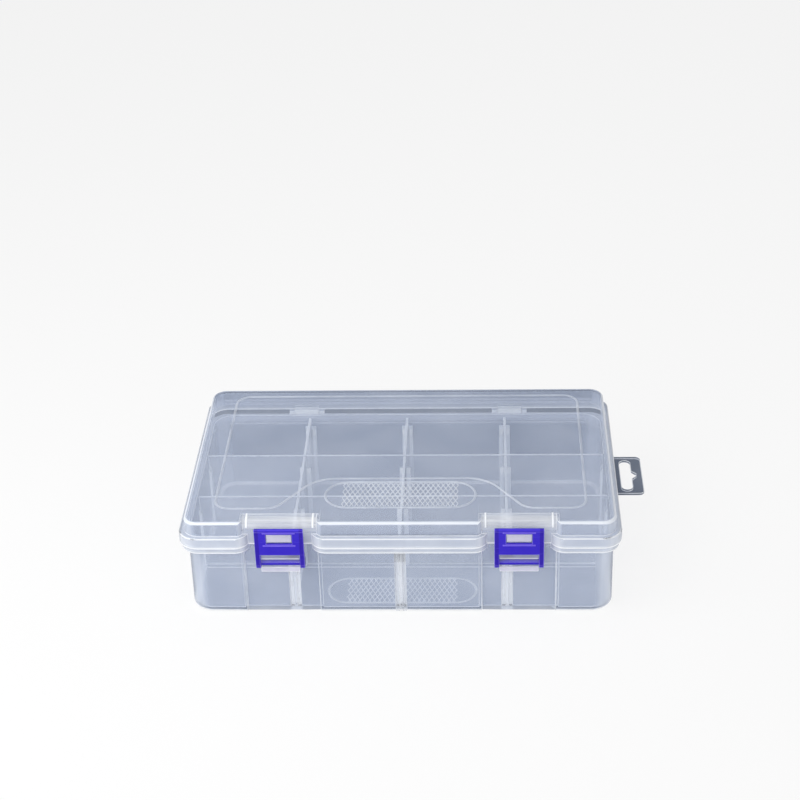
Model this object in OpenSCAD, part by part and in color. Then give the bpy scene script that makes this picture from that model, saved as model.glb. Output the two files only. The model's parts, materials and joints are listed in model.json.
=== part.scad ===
// Clear snap-lid bead organizer with loose dividers, in millimetres.
// X runs left to right, Y front to back and Z up. The origin lies on the underside,
// below the middle of the closed lid. The latches are on the front, the hinge behind.

/* [Closed box] */
// Width across the lid's rim
lid_w = 235; // [225:1:260]
// Depth across the lid's rim
lid_d = 149.2; // [144:0.2:175]
// Height of the closed box
box_h = 58.7; // [57:0.1:75]
// Height of the lid's lower edge above the table
part_z = 44; // [42.5:0.5:45]
// Corner radius of the lid's rim, seen from above
rim_corner_r = 11; // [9:0.5:16]

/* [Lid] */
// Thickness of the lid
lid_wall = 1.4; // [1:0.1:1.8]
// Height of the lid's outer rim
rim_h = 6.5; // [5.5:0.1:7]
// Width of the ledge on top of the rim
ledge_w = 3; // [2.5:0.1:4]
// Rounding along the lid's top edge
top_edge_r = 2; // [1.8:0.1:2.6]
// Rounding along the rim's upper edge
rim_edge_r = 0.8; // [0.4:0.1:1.2]
// Half width of the stacking ridge on the lid
ridge_half_w = 99; // [90:1:104]
// Height of the stacking and label ridges
ridge_h = 0.5; // [0.3:0.1:0.8]
// Width of the stacking and label ridges
ridge_w = 0.9; // [0.6:0.1:1.4]
// Length of the oval label panel
label_l = 81.6; // [60:0.2:90]
// Height of the oval label panel, front to back
label_h = 26.2; // [18:0.2:28]
// Height of the oval on the tray's floor, front to back
floor_label_h = 23.6; // [18:0.2:26]

/* [Tray] */
// Thickness of the tray's walls and floor
tray_wall = 1.4; // [1:0.1:1.8]
// Set-in of the tray's side walls from the rim
side_in = 3.9; // [3.6:0.1:6]
// Set-in of the tray's front wall from the rim
front_in = 4.4; // [4:0.1:5]
// Set-in of the tray's back wall, which leaves room for the hinge
back_in = 14.5; // [13:0.5:18]
// Corner radius of the tray, seen from above
tray_corner_r = 12; // [8:0.5:14]
// Rounding along the tray's bottom edge
tray_edge_r = 3; // [2:0.1:4]
// How far the tray's walls stand up inside the lid
tongue_h = 4.6; // [3:0.1:4.8]
// Thickness of the flange under the lid
flange_t = 1.4; // [1:0.1:2]
// Set-in of the flange from the rim
flange_in = 1.4; // [1:0.1:2.4]
// Drop of the lip along the flange
lip_h = 3.5; // [2.5:0.1:5]

/* [Latches] */
// Distance of each latch from the middle
latch_x = 63.2; // [56:0.2:72]
// Width of a latch
latch_w = 26; // [22:0.5:30]
// Thickness of a latch plate
latch_t = 1.6; // [1.2:0.1:2]
// Height of the latch pivot above the table
pivot_z = 33.6; // [32:0.2:34.6]
// Distance of the latch pivot behind the plate's face
pivot_in = 3.4; // [3.2:0.1:3.8]
// Drop of a latch's top below the lid's top
latch_drop = 2.1; // [1.6:0.1:2.6]
// Radius of the latch rod
rod_r = 1.5; // [1.2:0.1:1.7]
// Width of the clip that holds the rod
clip_w = 20.6; // [16:0.2:21]
// Window in the latch, side to side
window_w = 13.8; // [10:0.2:15]
// Window in the latch, up and down
window_h = 6; // [4.5:0.1:6.4]
// Width of the notch for a latch, in the tray and above the lid's rim
notch_w = 39.5; // [36:0.5:42]
// Width of the notch between the ends of the lid's rim
rim_notch_w = 33; // [32:0.5:36]
// Depth of the notch in the tray's front wall
notch_in = 2.5; // [1.5:0.1:3]
// Radius of the lid's shoulder over a notch
shoulder_r = 7.5; // [6:0.1:8]

/* [Hinge] */
// Distance of each hinge from the middle
hinge_x = 60; // [40:1:85]
// Radius of the hinge pin
pin_r = 1.5; // [1.2:0.1:1.6]
// Length of a hinge knuckle
knuckle_l = 14; // [8:0.5:24]
// Height of the hinge axis below the lid's lower edge
hinge_drop = 1; // [0.8:0.1:1.4]
// Distance of the hinge axis from the back of the rim
hinge_in = 3.8; // [3.7:0.1:4.2]
// Wall around the hinge pin
knuckle_wall = 1.65; // [1.4:0.05:1.8]

/* [Hang tab] */
// Reach of the hang tab beyond the flange
tab_reach = 16.8; // [15:0.2:20]
// Width of the hang tab
tab_w = 38.5; // [34:0.5:44]
// Place of the tab's middle, measured from the box's middle
tab_y = -1; // [-10:0.2:10]
// Length of the slot in the tab
slot_l = 30; // [20:0.5:32]
// Width of the slot in the tab
slot_w = 6.1; // [5:0.1:7]

/* [Dividers] */
// Thickness of a divider
div_t = 1.4; // [1:0.1:2]
// Height of the dividers' top edge above the table
div_top = 46.6; // [42:0.2:47.8]
// Spacing of the columns
col_pitch = 57; // [50:1:58]
// Height of the guide rails' top above the table
rail_top = 38.5; // [25:0.5:40]
// Width of one guide rail
rail_w = 2; // [1.4:0.1:2.6]
// How far a guide rail stands out
rail_out = 1.5; // [1:0.1:2.5]

/* [Clearances] */
// Gap between a divider and its rails or walls
slide_gap = 0.2; // [0.15:0.05:0.3]
// Gap between the lid and the flange that it rests over
seat_gap = 0.2; // [0.1:0.05:0.3]
// Radial gap around the rods and pins
pin_gap = 0.05; // [0.03:0.01:0.08]
// Gap beside the knuckles and latch arms
end_gap = 0.25; // [0.2:0.05:0.35]

/* [Hidden] */
$fn = 48;

clear_pp = [0.78, 0.83, 0.90, 0.55];
rib_pp = [0.86, 0.89, 0.94, 0.75];
latch_blue = [0.22, 0.12, 0.78];

rows = 3;
cols = 4;
cut = 1;                                   // how far a cutter runs past a face
bite = 0.6;                                // how far a joined piece runs into its carrier

// Tray
tray_w = lid_w - 2 * side_in;
front_y = -lid_d / 2 + front_in;
back_y = lid_d / 2 - back_in;
tray_d = back_y - front_y;
tray_y = (back_y + front_y) / 2;
tray_top = part_z + tongue_h;
floor_z = tray_wall;
inner_w = tray_w - 2 * tray_wall;
inner_front = front_y + tray_wall;
inner_back = back_y - tray_wall;
inner_edge_r = tray_edge_r - tray_wall / 2;
notch_y = front_y + notch_in;              // face of the tray inside a notch

// Flange
flange_top = part_z - seat_gap;
flange_w = lid_w - 2 * flange_in;
flange_front = -lid_d / 2 + flange_in;
flange_pin_gap = 0.3;                      // between the flange and a hinge pin
flange_back = lid_d / 2 - hinge_in - pin_r - flange_pin_gap;
flange_d = flange_back - flange_front;
flange_y = (flange_back + flange_front) / 2;
flange_r = rim_corner_r - flange_in;
lip_t = 1.2;

// Latch and clip
plate_y = -lid_d / 2;                      // outer face of the latch
pivot_y = plate_y + pivot_in;
latch_top = box_h - latch_drop;
clip_up = 3.8;                             // from the pivot to the clip's top
clip_down = 4.8;                           // and to its foot
clip_round = 1.4;
clip_front = plate_y + 0.6;                // foremost face of a clip
clip_mouth = 0.85;                         // mouth's half height, as a share of the rod's radius
plate_gap = 2.9;                           // from a clip's top up to the latch plate
plate_bottom = pivot_z + clip_up + plate_gap;
arm_in = clip_w / 2 + end_gap;             // inner face of a latch arm
arm_gap = 0.3;                             // from an arm's round end to the tray
arm_r = min(pivot_in, notch_y - pivot_y) - arm_gap;
thumb_r = 1;                               // bead along the latch's top edge
latch_rib = 0.5;                           // thin ribs above and below the window
rib_gap = 0.9;                             // from the window to the middle of a rib
rib_over = 1.6;                            // how far a rib runs past the window at each end

// Lid
upper_w = lid_w - 2 * ledge_w;
upper_d = lid_d - 2 * ledge_w;
upper_r = rim_corner_r - ledge_w;
ledge_z = part_z + rim_h;
shoulder_y = -lid_d / 2 + 5.1;             // face of the lid inside a notch
shoulder_back = shoulder_y + shoulder_r;
shoulder_z = box_h - shoulder_r;
notch_rim_r = 8;                           // rounding of the rim's ends
notch_top_r = 3;                           // rounding above the ledge
window_z = shoulder_z - 1;                 // middle of the window and of the catch in it
catch_gap = 0.4;                           // around the catch in the window
catch_w = window_w - 2 * catch_gap;
catch_h = window_h - 2 * catch_gap;
catch_y = plate_y + 0.4;
catch_ramp = 0.8;
label_in = 4.6;                            // from the shoulder's back to the label panel
floor_label_in = 2.7;                      // from the tray's front wall to the floor's oval

// Stacking ridge, from the middle towards the right
ridge_in = 4.4;                            // from the shoulder's back to the pads in front
ridge_back_in = 9;                         // from the lid's upper edge to the ridge's back
ridge_rise = 29.6;                         // how far the ridge steps back round the label
ridge_slope = 55;
ridge_mid_r = 20;
ridge_foot_r = 10;
ridge_pad_w = 27;
ridge_corner_r = 8;

// Hinge
hinge_y = lid_d / 2 - hinge_in;
hinge_z = part_z - hinge_drop;
knuckle_r = pin_r + knuckle_wall;
ear_t = 3;
ear_r = hinge_in - lid_wall - end_gap;
relief_gap = 1.2;
relief_y = hinge_y - knuckle_r - relief_gap;   // front of the flange's cut-out at a knuckle
knuckle_mouth = 0.75;                      // mouth's half width, as a share of the pin's radius

// Hang tab
slot_out = 3.3;                            // from the rim to the slot
slot_x = lid_w / 2 + slot_out + slot_w / 2;
tab_end = flange_w / 2 + tab_reach;
tab_corner = 3;
bay_w = 7.8;                               // tapered bay in the slot's outer side
bay_tip_w = 1.6;
bay_d = 2.7;

// Dividers
row_pitch = (inner_back - inner_front + div_t) / rows;
row_front = inner_front - div_t / 2;       // where a divider in front of row 0 would stand
div_bottom = floor_z + slide_gap;
div_h = div_top - div_bottom;
row_div_l = inner_w - 2 * slide_gap;
rail_slot = div_t + 2 * slide_gap;
div_round = tray_edge_r;
rail_foot = 0.4;                           // from a divider's bottom to the rails on it
groove_d = 0.3;                            // depth of the oval groove in the floor

function row_div_y(i) = row_front + row_pitch * i;
function row_lo(j) = j == 0 ? inner_front + notch_in : row_div_y(j) + div_t / 2;
function row_hi(j) = row_div_y(j + 1) - div_t / 2;
function col_x(i) = col_pitch * (i - cols / 2);
function in_notch(x) = abs(abs(x) - latch_x) < notch_w / 2;

// ---- Shapes used by several pieces ----

// Quarter section of a rounded block: r wide, h tall, with its lower outer edge rounded by e
module edge_section(r, h, e) {
    square([r - e, h]);
    translate([0, e]) square([r, h - e]);
    translate([r - e, e]) circle(e);
}

// Block with rounded upright corners (r) and a rounded lower edge (e), from z = 0 up
module round_block(w, d, h, r, e) {
    translate([-w / 2 + r, -d / 2 + r, 0]) cube([w - 2 * r, d - 2 * r, h]);
    for (s = [0, 1]) mirror([s, 0, 0]) {
        translate([w / 2 - r, d / 2 - r, 0]) rotate([90, 0, 0])
            linear_extrude(d - 2 * r) edge_section(r, h, e);
        for (t = [0, 1]) mirror([0, t, 0]) translate([w / 2 - r, d / 2 - r, 0])
            rotate_extrude(angle = 90) edge_section(r, h, e);
    }
    for (t = [0, 1]) mirror([0, t, 0]) translate([-w / 2 + r, d / 2 - r, 0]) rotate([90, 0, 90])
        linear_extrude(w - 2 * r) edge_section(r, h, e);
}

// The same block hanging down from z = 0, with its upper edge rounded
module round_cap(w, d, h, r, e) {
    mirror([0, 0, 1]) round_block(w, d, h, r, e);
}

// Flat rounded rectangle, centred
module round_rect(w, d, r) {
    square([w - 2 * r, d], center = true);
    square([w, d - 2 * r], center = true);
    for (x = [-1, 1], y = [-1, 1]) translate([x * (w / 2 - r), y * (d / 2 - r)]) circle(r);
}

// Extrudes a section drawn in Y and Z along X, centred on x = 0
module along_x(length) {
    translate([-length / 2, 0, 0]) rotate([90, 0, 90]) linear_extrude(length) children();
}

// Oval, l long and h high
module oval(l, h) {
    square([l - h, h], center = true);
    for (s = [-1, 1]) translate([s * (l - h) / 2, 0]) circle(h / 2);
}

// Oval band as wide as the ridges, round a label panel
module oval_ring(l, h) {
    difference() {
        oval(l, h);
        oval(l - 2 * ridge_w, h - 2 * ridge_w);
    }
}

module at_latches() {
    for (s = [-1, 1]) translate([s * latch_x, 0, 0]) children();
}

module at_hinges() {
    for (s = [-1, 1]) translate([s * hinge_x, 0, 0]) children();
}

// Plan of a notch, w wide and grown by g, in a front face at y0: the corners beside it are
// rounded by r
module notch_plan(w, g, y0, r) {
    half = w / 2;
    translate([-half - g, plate_y - cut])
        square([2 * (half + g), shoulder_back + g + cut - plate_y + cut]);
    for (s = [0, 1]) mirror([s, 0, 0]) difference() {
        translate([half, plate_y - cut]) square([r, y0 + r - plate_y + cut]);
        translate([half + r, y0 + r]) circle(r - g);
    }
}

// Space over a latch, from z = low up, with a rounded shoulder behind it, grown by g
module lid_notch(g, low = part_z - cut) {
    at_latches() intersection() {
        along_x(notch_w + 2 * (notch_rim_r + g + cut)) difference() {
            translate([plate_y - cut, low])
                square([shoulder_back + g - plate_y + cut, box_h - low + cut]);
            translate([shoulder_back, shoulder_z]) circle(shoulder_r - g);
            translate([shoulder_y + g, low - cut])
                square([shoulder_r + cut, shoulder_z - low + cut]);
        }
        union() {
            translate([0, 0, low - cut]) linear_extrude(ledge_z - low + cut)
                notch_plan(rim_notch_w, g, plate_y, notch_rim_r);
            translate([0, 0, ledge_z - g]) linear_extrude(box_h - ledge_z + g + 2 * cut)
                notch_plan(notch_w, g, -upper_d / 2, notch_top_r);
        }
    }
}

// ---- Tray ----

// Space in front of the tray's notch, grown by g
module tray_notch(g) {
    at_latches() translate([-notch_w / 2 - g, plate_y - cut, -cut])
        cube([notch_w + 2 * g, notch_y - plate_y + cut + g, tray_top + 2 * cut]);
}

module tray_shell() {
    difference() {
        translate([0, tray_y, 0])
            round_block(tray_w, tray_d, tray_top, tray_corner_r, tray_edge_r);
        tray_notch(0);
        difference() {
            translate([0, tray_y, floor_z])
                round_block(inner_w, tray_d - 2 * tray_wall, tray_top,
                            tray_corner_r - tray_wall, inner_edge_r);
            tray_notch(tray_wall);
        }
        lid_notch(lid_wall + seat_gap, flange_top);
        translate([0, inner_front + notch_in + floor_label_in + floor_label_h / 2,
                   floor_z - groove_d])
            linear_extrude(groove_d + cut) oval_ring(label_l, floor_label_h);
    }
}

// Plan of the tray along the middle of its walls
module tray_plan() {
    difference() {
        translate([0, tray_y])
            round_rect(tray_w - tray_wall, tray_d - tray_wall, tray_corner_r - tray_wall / 2);
        at_latches() translate([-(notch_w + tray_wall) / 2, plate_y - cut])
            square([notch_w + tray_wall, notch_y - plate_y + cut + tray_wall / 2]);
    }
}

// Plan of the notches in the flange, grown by g
module flange_notches(g) {
    at_latches() notch_plan(rim_notch_w, g, flange_front, notch_rim_r);
}

// Flange under the lid, with the lip that hangs from its edge
module flange() {
    difference() {
        translate([0, flange_y, flange_top - lip_h]) linear_extrude(lip_h)
            round_rect(flange_w, flange_d, flange_r);
        translate([0, 0, flange_top - lip_h - cut]) linear_extrude(lip_h - flange_t + cut)
            difference() {
                translate([0, flange_y])
                    round_rect(flange_w - 2 * lip_t, flange_d - 2 * lip_t, flange_r - lip_t);
                flange_notches(lip_t);
            }
        translate([0, 0, flange_top - lip_h - cut]) linear_extrude(lip_h + 2 * cut) {
            tray_plan();
            flange_notches(0);
        }
        at_hinges() translate([-knuckle_l / 2 - end_gap, relief_y, flange_top - lip_h - cut])
            cube([knuckle_l + 2 * end_gap, lid_d, lip_h + 2 * cut]);
    }
}

// Ears that carry the hinge pins
module hinge_ears() {
    at_hinges() {
        for (s = [-1, 1]) translate([s * (knuckle_l / 2 + end_gap + ear_t / 2), 0, 0])
            along_x(ear_t) {
                translate([hinge_y, hinge_z]) circle(ear_r);
                translate([flange_back - lip_t - bite, flange_top - flange_t - bite])
                    square([hinge_y - flange_back + lip_t + bite, flange_t + bite]);
            }
        translate([0, hinge_y, hinge_z]) rotate([0, 90, 0])
            cylinder(h = knuckle_l + 2 * end_gap + ear_t, r = pin_r, center = true);
    }
}

// Open clip that the latch rod snaps into
module latch_clip() {
    foot = pivot_z - clip_down;
    top = pivot_z + clip_up;
    along_x(clip_w) difference() {
        union() {
            translate([clip_front + clip_round, foot])
                square([notch_y + bite - clip_front - clip_round, top - foot]);
            translate([clip_front, foot + clip_round])
                square([2 * clip_round, top - foot - 2 * clip_round]);
            for (z = [foot + clip_round, top - clip_round])
                translate([clip_front + clip_round, z]) circle(clip_round);
        }
        translate([pivot_y, pivot_z]) circle(rod_r + pin_gap);
        translate([plate_y - cut, pivot_z - rod_r * clip_mouth])
            square([pivot_y - plate_y + cut, 2 * rod_r * clip_mouth]);
    }
}

// Pair of guide rails that stand out by reach towards +Y from a wall whose face is at y = 0
module rail_pair(z0, reach) {
    for (s = [0, 1]) mirror([s, 0, 0]) translate([rail_slot / 2, 0, 0]) rotate([90, 0, 90])
        linear_extrude(rail_w)
            polygon([[-bite, z0], [reach, z0], [reach, rail_top - 2 * rail_out],
                     [reach - rail_out, rail_top], [-bite, rail_top]]);
}

module tray_rails() {
    z0 = floor_z - bite;
    for (i = [1 : cols - 1]) {
        set_in = in_notch(col_x(i)) ? notch_in : 0;
        translate([col_x(i), inner_front + set_in, 0]) rail_pair(z0, notch_in - set_in + rail_out);
        translate([col_x(i), inner_back, 0]) mirror([0, 1, 0]) rail_pair(z0, rail_out);
    }
    for (i = [1 : rows - 1], s = [0, 1])
        mirror([s, 0, 0]) translate([-inner_w / 2, row_div_y(i), 0]) rotate(-90)
            rail_pair(z0, rail_out);
}

// Tab with the slot that hangs the box on a hook
module hang_tab() {
    corner_x = tab_end - tab_corner;
    corner_y = tab_w / 2 - tab_corner;
    slot_straight = slot_l - slot_w;
    translate([0, tab_y, flange_top - flange_t]) linear_extrude(flange_t) difference() {
        union() {
            translate([flange_w / 2 - bite, -tab_w / 2])
                square([corner_x - flange_w / 2 + bite, tab_w]);
            translate([corner_x - tab_corner, -corner_y]) square([2 * tab_corner, 2 * corner_y]);
            for (s = [-1, 1]) translate([corner_x, s * corner_y]) circle(tab_corner);
        }
        translate([slot_x - slot_w / 2, -slot_straight / 2]) square([slot_w, slot_straight]);
        for (s = [-1, 1]) translate([slot_x, s * slot_straight / 2]) circle(slot_w / 2);
        translate([slot_x + slot_w / 2, 0])
            polygon([[-slot_w / 2, -bay_w / 2], [0, -bay_w / 2], [bay_d, -bay_tip_w / 2],
                     [bay_d, bay_tip_w / 2], [0, bay_w / 2], [-slot_w / 2, bay_w / 2]]);
    }
}

module tray() {
    color(clear_pp) {
        tray_shell();
        flange();
        hang_tab();
        tray_rails();
        hinge_ears();
        at_latches() latch_clip();
    }
}

// ---- Lid ----

module lid_body() {
    translate([0, 0, ledge_z]) round_cap(lid_w, lid_d, rim_h, rim_corner_r, rim_edge_r);
    translate([0, 0, box_h]) round_cap(upper_w, upper_d, box_h - part_z, upper_r, top_edge_r);
}

module lid_hollow() {
    w = 2 * lid_wall;
    translate([0, 0, part_z - cut]) linear_extrude(rim_h - lid_wall + cut)
        round_rect(lid_w - w, lid_d - w, rim_corner_r - lid_wall);
    translate([0, 0, box_h - lid_wall])
        round_cap(upper_w - w, upper_d - w, box_h - lid_wall - part_z + cut,
                  upper_r - lid_wall, top_edge_r - lid_wall);
}

// Catch that stands in the latch's window, with a ramp below
module lid_catch() {
    at_latches() along_x(catch_w)
        polygon([[shoulder_y + lid_wall / 2, window_z - catch_h / 2],
                 [shoulder_y, window_z - catch_h / 2],
                 [catch_y, window_z - catch_h / 2 + catch_ramp],
                 [catch_y, window_z + catch_h / 2],
                 [shoulder_y + lid_wall / 2, window_z + catch_h / 2]]);
}

// Open knuckle that snaps over a hinge pin
module lid_knuckle() {
    at_hinges() along_x(knuckle_l) difference() {
        union() {
            translate([hinge_y, hinge_z]) circle(knuckle_r);
            translate([hinge_y, hinge_z]) square([hinge_in, knuckle_r + bite]);
        }
        translate([hinge_y, hinge_z]) circle(pin_r + pin_gap);
        translate([hinge_y - pin_r * knuckle_mouth, hinge_z - knuckle_r - cut])
            square([2 * pin_r * knuckle_mouth, knuckle_r + cut]);
    }
}

// Points of an arc about c from angle a to angle b
function arc(c, r, a, b, n = 8) =
    [for (i = [0 : n]) c + r * [cos(a + (b - a) * i / n), sin(a + (b - a) * i / n)]];

// Right half of the stacking ridge's outline, moved out by o: from the middle run along an
// S to a pad in front, round the pad's corner, and round the corner at the back
function ridge_half(o) = let (
        front = shoulder_back + ridge_in,
        back = upper_d / 2 - ridge_back_in,
        bends = ridge_mid_r + ridge_foot_r,
        run = (ridge_rise - bends * (1 - cos(ridge_slope))) / sin(ridge_slope),
        foot_x = ridge_half_w - ridge_pad_w,
        mid_x = foot_x - bends * sin(ridge_slope) - run * cos(ridge_slope),
        corner_x = ridge_half_w - ridge_corner_r
    ) concat(
        arc([mid_x, front + ridge_rise - ridge_mid_r], ridge_mid_r - o, 90, 90 - ridge_slope),
        arc([foot_x, front + ridge_foot_r], ridge_foot_r + o, 270 - ridge_slope, 270),
        arc([corner_x, front + ridge_corner_r], ridge_corner_r + o, 270, 360),
        arc([corner_x, back - ridge_corner_r], ridge_corner_r + o, 0, 90)
    );

module ridge_plate(o) {
    half = ridge_half(o);
    polygon(concat(half, [for (i = [len(half) - 1 : -1 : 0]) [-half[i][0], half[i][1]]]));
}

module lid_ridges() {
    translate([0, 0, box_h - bite]) linear_extrude(ridge_h + bite) {
        difference() {
            ridge_plate(ridge_w / 2);
            ridge_plate(-ridge_w / 2);
        }
        translate([0, shoulder_back + label_in + label_h / 2]) oval_ring(label_l, label_h);
    }
}

module lid() {
    color(clear_pp) {
        difference() {
            lid_body();
            lid_notch(0);
            difference() {
                lid_hollow();
                lid_notch(lid_wall);
            }
        }
        lid_catch();
        lid_knuckle();
        lid_ridges();
    }
}

// ---- Latches ----

module latch(side) {
    rib_l = window_w + 2 * rib_over;
    color(latch_blue) translate([side * latch_x, 0, 0]) {
        difference() {
            translate([-latch_w / 2, plate_y, plate_bottom])
                cube([latch_w, latch_t, latch_top - thumb_r - plate_bottom]);
            translate([-window_w / 2, plate_y - cut, window_z - window_h / 2])
                cube([window_w, latch_t + 2 * cut, window_h]);
        }
        for (s = [-1, 1])
            translate([0, plate_y, window_z + s * (window_h / 2 + rib_gap)])
                cube([rib_l, 2 * latch_rib, latch_rib], center = true);
        translate([0, plate_y + thumb_r - latch_rib, latch_top - thumb_r]) rotate([0, 90, 0])
            cylinder(h = latch_w, r = thumb_r, center = true);
        for (s = [-1, 1])
            translate([s * (latch_w / 2 + arm_in) / 2, 0, 0]) along_x(latch_w / 2 - arm_in) {
                translate([pivot_y, pivot_z]) circle(arm_r);
                translate([plate_y, pivot_z]) square([pivot_in, plate_bottom - pivot_z]);
                translate([plate_y, plate_bottom - bite]) square([latch_t, 2 * bite]);
            }
        translate([0, pivot_y, pivot_z]) rotate([0, 90, 0])
            cylinder(h = 2 * arm_in + 2 * bite, r = rod_r, center = true);
    }
}

module latch_left() { latch(-1); }
module latch_right() { latch(1); }

// ---- Dividers ----

// Upright plate, l long, with its lower corners rounded to clear the tray's fillet
module plate_outline(l) {
    translate([-l / 2, div_round]) square([l, div_h - div_round]);
    translate([-l / 2 + div_round, 0]) square([l - 2 * div_round, div_h]);
    for (s = [-1, 1]) translate([s * (l / 2 - div_round), div_round]) circle(div_round);
}

// Full-width divider behind row i - 1, with rails on both faces for the small dividers
module row_divider(i) {
    color(rib_pp) translate([0, row_div_y(i), 0]) {
        translate([0, div_t / 2, div_bottom]) rotate([90, 0, 0])
            linear_extrude(div_t) plate_outline(row_div_l);
        for (c = [1 : cols - 1], s = [0, 1]) mirror([0, s, 0])
            translate([col_x(c), div_t / 2, 0]) rail_pair(div_bottom + rail_foot, rail_out);
    }
}

module row_divider_front() { row_divider(1); }
module row_divider_rear() { row_divider(2); }

// Small divider between column i - 1 and column i of row j
module cell_divider(i, j) {
    color(rib_pp) translate([col_x(i) - div_t / 2, (row_lo(j) + row_hi(j)) / 2, div_bottom])
        rotate([90, 0, 90]) linear_extrude(div_t)
            plate_outline(row_hi(j) - row_lo(j) - 2 * slide_gap);
}

module divider_front_left() { cell_divider(1, 0); }
module divider_front_centre() { cell_divider(2, 0); }
module divider_front_right() { cell_divider(3, 0); }
module divider_middle_left() { cell_divider(1, 1); }
module divider_middle_centre() { cell_divider(2, 1); }
module divider_middle_right() { cell_divider(3, 1); }
module divider_rear_left() { cell_divider(1, 2); }
module divider_rear_centre() { cell_divider(2, 2); }
module divider_rear_right() { cell_divider(3, 2); }

tray();
lid();
latch_left();
latch_right();
row_divider_front();
row_divider_rear();
divider_front_left();
divider_front_centre();
divider_front_right();
divider_middle_left();
divider_middle_centre();
divider_middle_right();
divider_rear_left();
divider_rear_centre();
divider_rear_right();
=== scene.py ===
# %% [markdown]
# # A clear bead organizer
# The box is injection-moulded from milky, see-through polypropylene, with two snap latches in
# opaque violet. Clear plastic is nearly all edge: a flat wall shows as a faint haze, and what
# the eye reads are the bright lines where walls turn, end or stand on edge. So this scene takes
# the measured solids, rounds every crease a little, and gives the creases a denser, whiter finish
# than the walls: partly thicker plastic seen on edge, partly a painted highlight.

# %% Load the frame
import json
from math import pi, radians

import bmesh
import bpy
from mathutils import Matrix, Vector


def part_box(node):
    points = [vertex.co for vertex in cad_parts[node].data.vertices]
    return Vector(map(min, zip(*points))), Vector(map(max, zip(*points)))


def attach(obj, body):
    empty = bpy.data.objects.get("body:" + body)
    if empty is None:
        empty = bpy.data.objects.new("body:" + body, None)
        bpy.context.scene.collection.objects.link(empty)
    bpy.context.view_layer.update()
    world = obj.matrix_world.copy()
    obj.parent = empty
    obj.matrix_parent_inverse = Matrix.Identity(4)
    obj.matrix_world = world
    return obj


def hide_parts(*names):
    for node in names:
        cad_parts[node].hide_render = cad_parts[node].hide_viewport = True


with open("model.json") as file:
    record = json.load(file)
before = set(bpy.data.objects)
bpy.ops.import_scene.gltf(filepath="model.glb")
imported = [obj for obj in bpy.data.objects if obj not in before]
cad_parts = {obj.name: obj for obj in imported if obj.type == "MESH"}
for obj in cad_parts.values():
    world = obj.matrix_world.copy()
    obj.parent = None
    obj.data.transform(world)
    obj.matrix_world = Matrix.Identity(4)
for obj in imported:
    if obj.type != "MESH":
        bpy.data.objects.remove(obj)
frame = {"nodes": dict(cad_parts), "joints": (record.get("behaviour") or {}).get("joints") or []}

scene = bpy.context.scene
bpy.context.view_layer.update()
print("pieces in the frame:", len(frame["nodes"]))


# %% [markdown]
# ## The camera
# Straight parallel edges in the photograph give the lens and the tilt: the long edges of the
# lid barely converge, so the camera stood about a metre away and looked down at about thirty
# degrees. A camera's rotation is built from three turns, taken from the right: a small roll
# about the line of sight, the tilt up from straight down, and the turn about the upright axis.

# %% Camera
PHOTO_PIXELS = 800
FOCAL_PIXELS = 1881
SENSOR_MM = 36
CAMERA_PLACE = Vector((0.0454, -0.8943, 0.6023))
CAMERA_TURN = radians(2.96)
CAMERA_PITCH = radians(29.68)
CAMERA_ROLL = radians(-1.78)

camera_data = bpy.data.cameras.new("camera")
camera_data.sensor_width = SENSOR_MM
camera_data.lens = FOCAL_PIXELS / PHOTO_PIXELS * SENSOR_MM
camera = bpy.data.objects.new("camera", camera_data)
camera.matrix_world = (
    Matrix.Translation(CAMERA_PLACE)
    @ Matrix.Rotation(CAMERA_TURN, 4, "Z")
    @ Matrix.Rotation(pi / 2 - CAMERA_PITCH, 4, "X")
    @ Matrix.Rotation(CAMERA_ROLL, 4, "Z")
)
scene.collection.objects.link(camera)
scene.camera = camera
print("lens", round(camera_data.lens, 1), "mm")


# %% [markdown]
# ## Helpers for shader nodes
# A material is a small graph. Writing each node as a function call that takes its inputs keeps
# a graph as short to read as a formula: a value or another node's socket can go in either way.

# %% Node helpers
def put(tree, node, name, value):
    """Sets a node's input to a value, or links a socket to it."""
    socket = node.inputs[name]
    if isinstance(value, bpy.types.NodeSocket):
        tree.links.new(value, socket)
    else:
        socket.default_value = value


def add_node(tree, kind, settings=None, **inputs):
    """Adds a node, sets its options, then its inputs by name."""
    node = tree.nodes.new(kind)
    for option, choice in (settings or {}).items():
        setattr(node, option, choice)
    for name, value in inputs.items():
        put(tree, node, name.replace("_", " "), value)
    return node


def calc(tree, operation, first, second=0.0):
    """One arithmetic step on two values or sockets."""
    node = tree.nodes.new("ShaderNodeMath")
    node.operation = operation
    put(tree, node, 0, first)
    put(tree, node, 1, second)
    return node.outputs[0]


def blend_colors(tree, factor, first, second):
    """Mixes two colours."""
    node = tree.nodes.new("ShaderNodeMix")
    node.data_type = "RGBA"
    put(tree, node, 0, factor)
    put(tree, node, 6, first)
    put(tree, node, 7, second)
    return node.outputs[2]


def rescale(tree, value, low, high, to_low=0.0, to_high=1.0):
    """Maps a value from one range to another, and stops it at both ends."""
    node = add_node(tree, "ShaderNodeMapRange", Value=value)
    for name, number in (("From Min", low), ("From Max", high), ("To Min", to_low), ("To Max", to_high)):
        node.inputs[name].default_value = number
    return node.outputs[0]
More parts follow.
